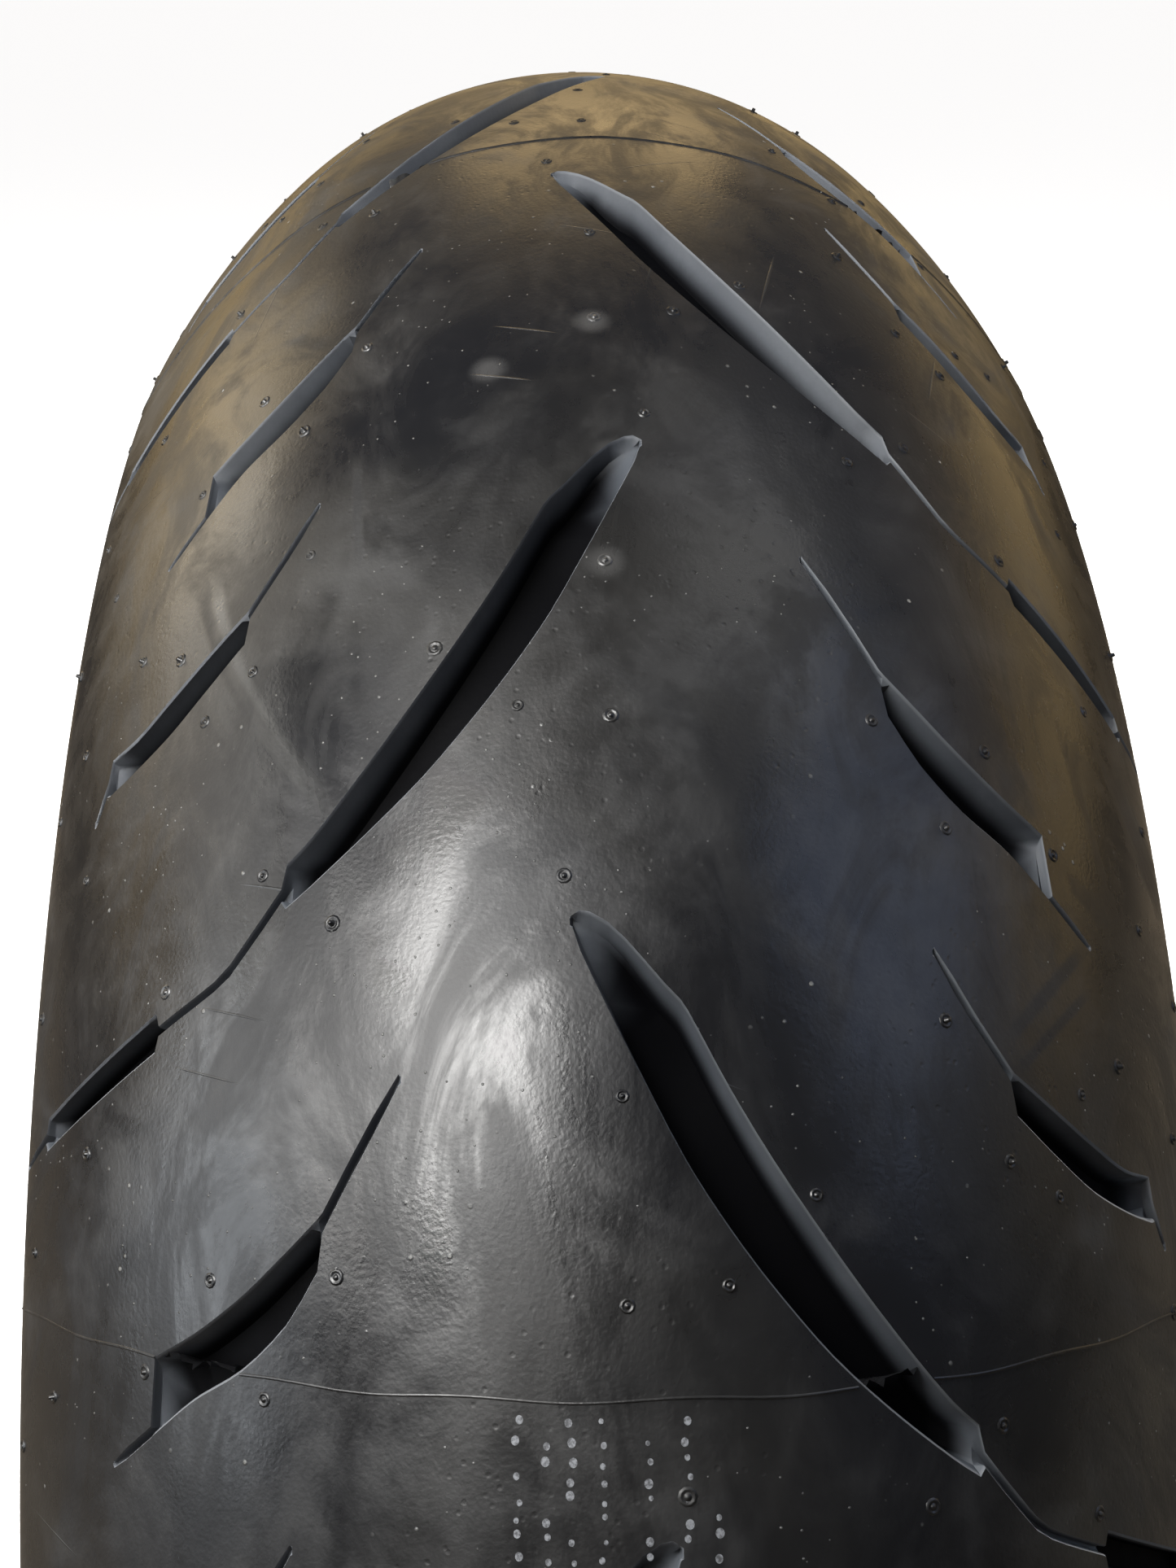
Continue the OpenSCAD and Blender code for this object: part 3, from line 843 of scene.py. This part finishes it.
def build_flash():
    """The fine raised lines where the mould's segments met, torn where they bridge a groove."""
    verts, faces = [], []

    def ribbon(line, width, base):
        """A raised line. Its points are (s, angle, height above the tread)."""
        start = len(verts)
        for s, angle, height in line:
            half = width / 2 / degree_mm(s)
            for a, h in ((angle - half, base), (angle, height), (angle + half, base)):
                verts.append(on_tyre(s, a, -h)[0])
        faces.extend(strip_faces(start, len(line)))

    def sheet(line):
        """A torn, leaning web across a groove."""
        start = len(verts)
        lean, foot = 0.0, 5.2
        for i, (s, angle, height) in enumerate(line):
            lean = 0.6 * lean + RNG.uniform(-0.12, 0.3)
            ends = min(i, len(line) - 1 - i) / 3
            top = -height * min(1.0, 0.3 + ends)
            for a, depth in ((angle, foot), (angle + 0.5 * lean, 0.5 * (foot + top)), (angle + lean, top)):
                verts.append(on_tyre(s, a, depth)[0])
        faces.extend(strip_faces(start, len(line)))

    for segment in range(MOULD_SEGMENTS):
        middle = MOULD_LINE_ANGLE + segment * 360.0 / MOULD_SEGMENTS
        line, web = [], []
        for s in np.arange(-122, 122.1, 1.0):
            angle = middle + 1.3 * (s / 120) ** 2 + 0.05 * math.sin(s * 0.21 + segment)
            hole = groove_at(float(s), angle)
            if hole is None or hole < BRIDGED_DEPTH:
                if len(web) > 2:
                    sheet(web)
                web = []
                line.append((float(s), angle, 0.2 + 0.07 * RNG.random()))
            else:
                if len(line) > 1:
                    ribbon(line, 0.55, -0.05)
                line = []
                web.append((float(s), angle, -RNG.uniform(0.2, 1.6)))
        if len(line) > 1:
            ribbon(line, 0.55, -0.05)
    return add_object("mould_flash", verts, faces, [TREAD])


build_flash()


def build_ink_dots():
    """Faint columns of printed dots: a generic production mark that spells nothing."""
    verts, faces = [], []
    for s0 in (-15.2, -11.6, -8.0, -3.8, 2.6, 7.6, 11.8):
        run = 0
        for row in range(15):
            angle = -4.7 - row * 0.44
            if run <= 0:
                run = RNG.choice((2, 3, 5, -2, -3))
            if run < 0:
                run += 1
                if run == 0:
                    run = RNG.choice((2, 4, 6))
                continue
            run -= 1
            s = s0 + RNG.uniform(-0.35, 0.35)
            place = angle + RNG.uniform(-0.12, 0.12)
            dot = [(RNG.uniform(0.3, 0.62), 0.0)]
            start = len(verts)
            verts += ring_on_tread(s, place, -0.03, dot, 12, 1.15)
            faces.append(list(range(start, len(verts))))
    return add_object("ink_dots", verts, faces, [INK])


build_ink_dots()

# ---- sidewalls ----


def sidewall_outline(side):
    """The outer face, from the end of the tread down to the rim flange."""
    outline = arc(EDGE_C, EDGE_R, TREAD_END_ANGLE, SIDE_START, 12, side)
    return outline + arc(SIDE_C, SIDE_R, SIDE_START, SIDE_END, 64, side)[1:]


# Raised work on a sidewall, in millimetres along it from the end of the tread
STEP_LENGTH = 1.2
RIBS, RIB_PITCH = (9.5, 14.0), 1.5
HATCH, HATCH_TEETH, HATCH_FADE = (16.0, 23.0), 240, 0.8
RIM_LINE_BACK, RIM_LINE_WIDTH = 5.5, 3.0  # set back from the flange end


def sidewall_relief(side):
    """Fine concentric ribs, a band of radial serrations and the rim line. No lettering."""
    points = np.array(sidewall_outline(side))
    along = np.concatenate([[0], np.cumsum(np.linalg.norm(np.diff(points, axis=0), axis=1))])
    total = along[-1]

    def relief(row, angle):
        u = along[row]
        past_rim_line = u - total + RIM_LINE_BACK
        height = 0.0
        if u < STEP_LENGTH:
            height = -0.25 * math.sin(math.pi * u / STEP_LENGTH)
        if RIBS[0] < u < RIBS[1]:
            height = 0.28 * abs(math.sin(math.pi * (u - RIBS[0]) / RIB_PITCH))
        if HATCH[0] < u < HATCH[1]:
            edge = min(u - HATCH[0], HATCH[1] - u, HATCH_FADE) / HATCH_FADE
            plain = math.sin(3 * angle) > 0.35
            height = edge * 0.3 * (1.0 if plain else 0.5 + 0.5 * math.sin(HATCH_TEETH * angle))
        if 0 < past_rim_line < RIM_LINE_WIDTH:
            height = 0.8 * math.sin(math.pi * past_rim_line / RIM_LINE_WIDTH)
        return height * side

    return relief


for side, label in ((-1, "left"), (1, "right")):
    lathe("sidewall_face_" + label, sidewall_outline(side), 960, SIDE,
          ["sidewall_" + label], relief=sidewall_relief(side))

# ---- finishes of the CAD pieces that stay ----

FINISHES = {
    "side_rubber": SIDE,
    "tread_rubber": TREAD,
    "liner_rubber": liner_rubber(),
    "base_rubber": inner_compound(),
    "ply_cord": cord_fabric("ply_cord", (0.3, 0.24, 0.16), (0.1, 0.08, 0.06), 300.0),
    "chafer_fabric": cord_fabric("chafer_fabric", (0.06, 0.058, 0.05), (0.02, 0.02, 0.019), 500.0),
    "brass_coated_steel": coated_steel(),
}
for part in frame["record"]["subparts"]:
    mesh = frame["nodes"][part["node"]].data
    mesh.materials.clear()
    mesh.materials.append(FINISHES[part["material_slot"]])

# ---- floor, light and camera ----

FLOOR_Z = cad_box[0].z - 0.0005


def build_floor():
    """A floor that is white to the camera and dull brown in the tyre's reflections."""
    n = Nodes("floor_pale")
    seen = n.add("ShaderNodeLightPath").outputs["Is Camera Ray"]
    n.finish(n.mix(seen, (0.1, 0.08, 0.055), (0.8, 0.8, 0.8)), 0.9)
    n.shader.inputs["Emission Color"].default_value = (1.0, 1.0, 1.0, 1.0)
    n.link(n.math("MULTIPLY", seen, 0.88), n.shader.inputs["Emission Strength"])
    mesh = bpy.data.meshes.new("floor")
    half = 60.0
    corners = [(x * half, y * half, FLOOR_Z) for x, y in ((-1, -1), (1, -1), (1, 1), (-1, 1))]
    mesh.from_pydata(corners, [], [(0, 1, 2, 3)])
    mesh.materials.append(n.mat)
    floor = bpy.data.objects.new("floor", mesh)
    bpy.context.scene.collection.objects.link(floor)


def area_light(name, angle, across, distance, size, watts, color, gives="sheen"):
    """A light aimed at the tyre: angle above the front horizon, and across to the right, in degrees.
    It gives either its sheen or its soft light, so that the grooves and the land are lit apart."""
    light = bpy.data.lights.new(name, "AREA")
    light.shape = "RECTANGLE"
    light.size, light.size_y = size
    light.energy = watts
    light.color = color
    obj = bpy.data.objects.new(name, light)
    bpy.context.scene.collection.objects.link(obj)
    a, b = math.radians(angle), math.radians(across)
    direction = Vector((math.cos(b) * math.cos(a), math.sin(b), math.cos(b) * math.sin(a)))
    obj.visible_diffuse, obj.visible_glossy = gives == "soft", gives == "sheen"
    obj.location = direction * distance
    obj.rotation_mode = "QUATERNION"
    obj.rotation_quaternion = direction.to_track_quat("Z", "Y")
    return obj


build_floor()
area_light("key", 50, -22, 1.6, (0.62, 0.6), 27, (1.0, 0.99, 0.97))
area_light("wall_light", 77, -30, 1.6, (0.8, 0.8), 38, (0.95, 0.98, 1.0), "soft")
area_light("slot_light", 30, 84, 1.8, (0.7, 0.7), 9, (0.6, 0.8, 1.0), "soft")
area_light("key_side", 52, -44, 1.6, (0.62, 0.62), 8, (1.0, 0.98, 0.95))
area_light("left_low", 38, -72, 2.2, (1.1, 1.0), 16, (0.9, 0.95, 1.0))
area_light("left_wall", 112, -60, 1.9, (1.7, 0.7), 8, (0.95, 0.92, 0.85))
area_light("fill_high", 70, -22, 1.6, (0.62, 0.62), 4, (1.0, 0.97, 0.93))
area_light("cool_side", 70, 45, 1.7, (1.0, 1.0), 3.0, (0.55, 0.68, 1.0))
area_light("top_soft", 90, 22, 1.6, (0.62, 0.62), 1.7, (1.0, 1.0, 1.0))
area_light("warm_back", 140, -40, 1.6, (0.62, 0.62), 2.0, (1.0, 0.8, 0.5))
area_light("warm_back_middle", 140, 2, 1.6, (0.7, 0.62), 2.4, (1.0, 0.7, 0.32))
area_light("back_soft_right", 150, 50, 2.5, (1.2, 1.2), 90, (1.0, 0.95, 0.88), "soft")
area_light("back_soft_left", 150, -50, 2.5, (1.2, 1.2), 70, (1.0, 0.95, 0.88), "soft")


def build_world():
    """A room that is dim in front and tan behind the tyre, seen against a plain white backdrop."""
    world = bpy.data.worlds.new("studio")
    world.use_nodes = True
    tree = world.node_tree
    coords = tree.nodes.new("ShaderNodeTexCoord")
    split = tree.nodes.new("ShaderNodeSeparateXYZ")
    tree.links.new(coords.outputs["Generated"], split.inputs[0])

    def ramp(socket, lo, hi):
        node = tree.nodes.new("ShaderNodeMapRange")
        node.interpolation_type = "SMOOTHSTEP"
        node.inputs["From Min"].default_value = lo
        node.inputs["From Max"].default_value = hi
        tree.links.new(socket, node.inputs["Value"])
        return node.outputs["Result"]

    both = tree.nodes.new("ShaderNodeMath")
    both.operation = "MULTIPLY"
    tree.links.new(ramp(split.outputs["X"], 0.25, -0.5), both.inputs[0])
    tree.links.new(ramp(split.outputs["Z"], 0.5, 0.0), both.inputs[1])
    room = tree.nodes.new("ShaderNodeMix")
    room.data_type = "RGBA"
    room.inputs[6].default_value = (0.07, 0.07, 0.08, 1.0)
    room.inputs[7].default_value = (0.8, 0.56, 0.25, 1.0)
    tree.links.new(both.outputs[0], room.inputs[0])
    backdrop = tree.nodes.new("ShaderNodeMix")
    backdrop.data_type = "RGBA"
    backdrop.inputs[7].default_value = (1.0, 1.0, 1.0, 1.0)
    tree.links.new(tree.nodes.new("ShaderNodeLightPath").outputs["Is Camera Ray"], backdrop.inputs[0])
    tree.links.new(room.outputs[2], backdrop.inputs[6])
    tree.links.new(backdrop.outputs[2], tree.nodes["Background"].inputs["Color"])
    bpy.context.scene.world = world
    bpy.context.scene.view_settings.view_transform = "Standard"


build_world()


def build_camera():
    """The viewpoint: close in front of the tyre, above it, looking down and a little across."""
    camera = bpy.data.cameras.new("camera")
    camera.sensor_width = 36.0
    camera.lens = 43.77
    camera.shift_x = 0.0433
    camera.clip_start, camera.clip_end = 0.02, 60.0
    obj = bpy.data.objects.new("camera", camera)
    bpy.context.scene.collection.objects.link(obj)
    distance, across = 0.5932, -0.0109
    pitch, yaw, roll = math.radians(12.89), math.radians(-0.58), math.radians(-0.76)
    forward = Vector((-math.cos(pitch) * math.cos(yaw), math.sin(yaw) * math.cos(pitch), math.sin(pitch)))
    right = forward.cross(Vector((0, 0, 1))).normalized()
    up = right.cross(forward)
    right_rolled = right * math.cos(roll) + up * math.sin(roll)
    up_rolled = right_rolled.cross(forward)
    axes = Matrix((right_rolled, up_rolled, -forward)).transposed().to_4x4()
    lift = Matrix.Rotation(-math.radians(PATTERN_TURN), 4, "Y")
    obj.matrix_world = lift @ Matrix.Translation((distance, across, 0)) @ axes
    bpy.context.scene.camera = obj


build_camera()
